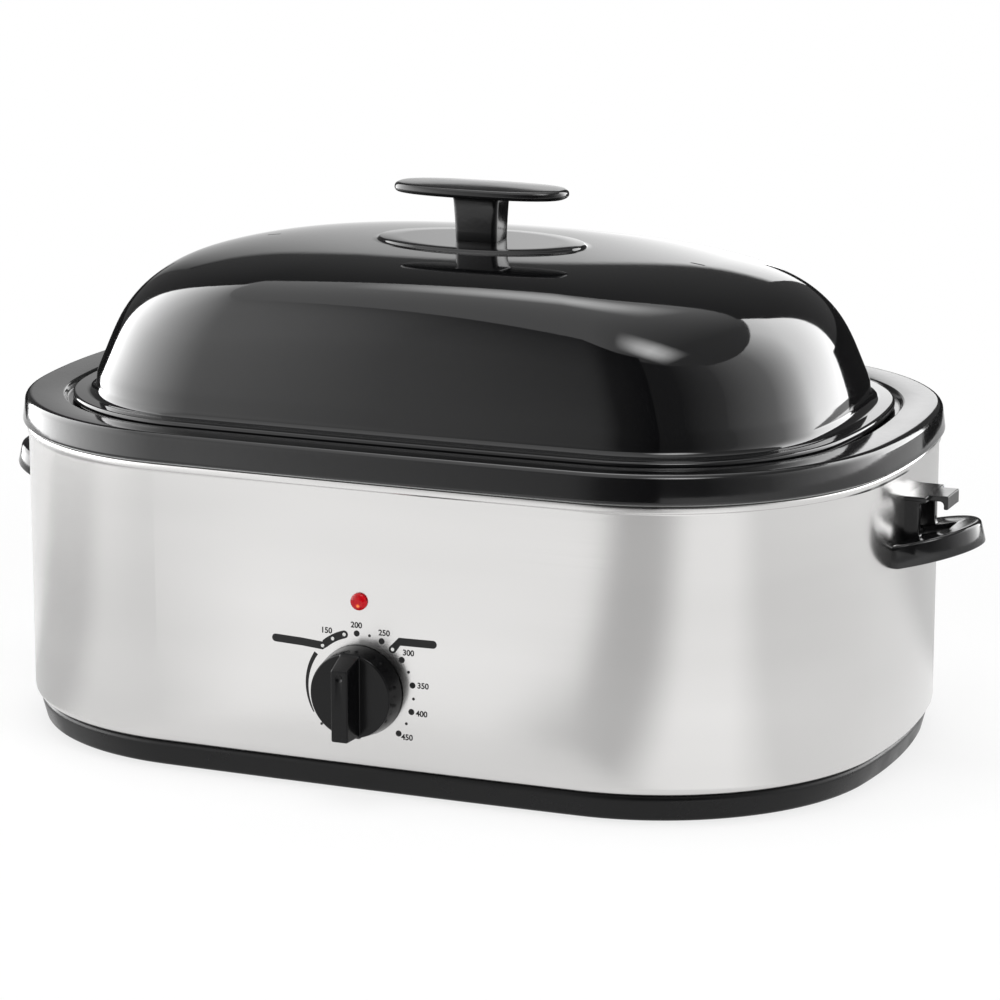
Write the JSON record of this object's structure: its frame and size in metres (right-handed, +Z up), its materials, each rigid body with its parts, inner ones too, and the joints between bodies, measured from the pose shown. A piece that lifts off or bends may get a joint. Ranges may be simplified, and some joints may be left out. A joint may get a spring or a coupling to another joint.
{
  "type": "electric roaster oven",
  "caption": "Countertop electric roaster oven: oval steel body, lift-out enamelled pan and rack, domed lift-off lid, side handles, thermostat knob and pilot lamp.",
  "frame": {"origin": "centre of the bounding box in plan, on the plane the feet stand on", "axes": "+X along the length towards the right-hand handle as seen from the front, +Y to the back, +Z up; the knob faces -Y"},
  "size_m": [0.6228, 0.3958, 0.3273],
  "materials": {
    "black_enamel": "porcelain enamel, high gloss",
    "stainless_wrap": "satin rolled sheet",
    "zinc_plated_steel": "bright zinc plate",
    "aluminised_steel": "matt aluminised sheet",
    "rubber": "matt moulded",
    "mica_heater": "mica and glass tape",
    "brass": "turned, bright",
    "glass_fibre": "needled blanket",
    "black_phenolic": "moulded, semi-matt",
    "black_phenolic_gloss": "moulded, polished",
    "copper": "drawn copper, bright",
    "red_lens": "clear red moulded",
    "neon_glass": "clear glass",
    "cream_ceramic": "unglazed steatite",
    "lead_sleeve": "varnished glass sleeve",
    "chromed_wire": "bright plated wire"
  },
  "bodies": {
    "base": {"base_skirt": "black_enamel", "bottom_plate": "zinc_plated_steel", "feet": "rubber", "outer_wrap": "stainless_wrap", "heating_well": "aluminised_steel", "well_brackets": "zinc_plated_steel", "bracket_screws": "zinc_plated_steel", "heater_band": "mica_heater", "heater_tags": "brass", "insulation_blanket": "glass_fibre", "thermostat_body": "black_phenolic", "thermostat_bush": "brass", "thermostat_nut": "brass", "capillary_bulb": "copper", "bulb_clip": "zinc_plated_steel", "pilot_lamp_lens": "red_lens", "pilot_lamp_collar": "zinc_plated_steel", "neon_lamp": "neon_glass", "cord_gland": "black_phenolic", "terminal_block": "cream_ceramic", "lead_wires": "lead_sleeve", "handle_backing_plates": "zinc_plated_steel", "handle_screws": "zinc_plated_steel", "side_handle_left": "black_phenolic_gloss", "side_handle_right": "black_phenolic_gloss"},
    "knob": {"control_knob": "black_phenolic_gloss", "thermostat_shaft": "brass", "knob_spring_clip": "zinc_plated_steel"},
    "pan": {"roasting_pan": "black_enamel"},
    "rack": {"rack_rim": "chromed_wire", "rack_cross_wires": "chromed_wire", "rack_legs": "chromed_wire", "rack_loops": "chromed_wire"},
    "lid": {"lid_shell": "black_enamel", "lid_handle": "black_phenolic_gloss", "lid_washer": "zinc_plated_steel", "lid_screw": "zinc_plated_steel"}
  },
  "joints": [
    {"name": "knob_turn", "type": "hinge", "parent": "base", "child": "knob", "pos_m": [0, -0.1692, 0.0636], "axis": [0, 1, 0], "range_deg": [-131, 137]},
    {"name": "pan_lift", "type": "slide", "parent": "base", "child": "pan", "axis": [0, 0, 1], "range_m": [0, 0.17]},
    {"name": "rack_lift", "type": "slide", "parent": "pan", "child": "rack", "axis": [0, 0, 1], "range_m": [0, 0.16]},
    {"name": "lid_lift", "type": "slide", "parent": "rack", "child": "lid", "axis": [0, 0, 1], "range_m": [0, 0.12]}
  ]
}
